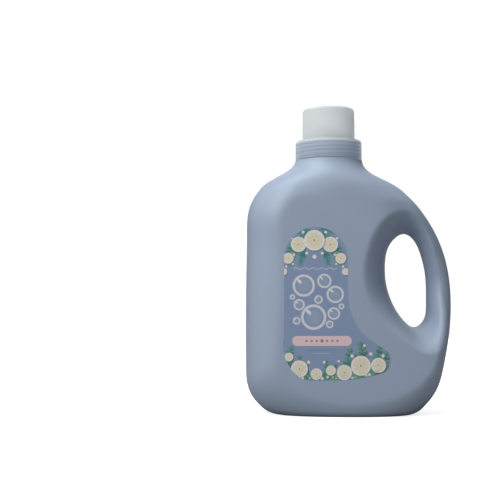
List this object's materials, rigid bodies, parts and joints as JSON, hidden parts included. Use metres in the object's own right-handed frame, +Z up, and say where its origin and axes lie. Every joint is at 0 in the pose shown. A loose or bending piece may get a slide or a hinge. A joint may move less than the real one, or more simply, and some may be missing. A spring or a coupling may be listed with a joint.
{
  "type": "laundry detergent bottle",
  "caption": "Blow-moulded laundry detergent bottle with a through handle at one side, a pour spout in its neck, a screw-on dosing cap and a shaped label front and back.",
  "frame": {"origin": "on the neck's axis, at the height of the table that the bottle stands on", "axes": "+X from the neck towards the handle, -Y the front with the front label, +Z up along the neck's axis"},
  "size_m": [0.198, 0.0944, 0.2945],
  "materials": {
    "bottle": "satin",
    "spout": "satin",
    "cap": "satin",
    "gasket": "matte",
    "label": "satin"
  },
  "bodies": {
    "bottle": {"bottle": "bottle", "bottle_neck": "bottle", "pour_spout": "spout", "front_label": "label", "back_label": "label"},
    "gasket": {"cap_gasket": "gasket"},
    "cap": {"cap": "cap"}
  },
  "joints": [
    {"name": "cap_lift", "type": "slide", "parent": "bottle", "child": "gasket", "axis": [0, 0, 1], "range_m": [0, 0.0433]},
    {"name": "cap_turn", "type": "hinge", "parent": "gasket", "child": "cap", "pos_m": [0, 0, 0.26], "axis": [0, 0, 1], "range_deg": [0, 4320]}
  ],
  "couplings": [
    {"joint": "cap_lift", "follows": "cap_turn", "m_per_rad": 0.00057296}
  ]
}
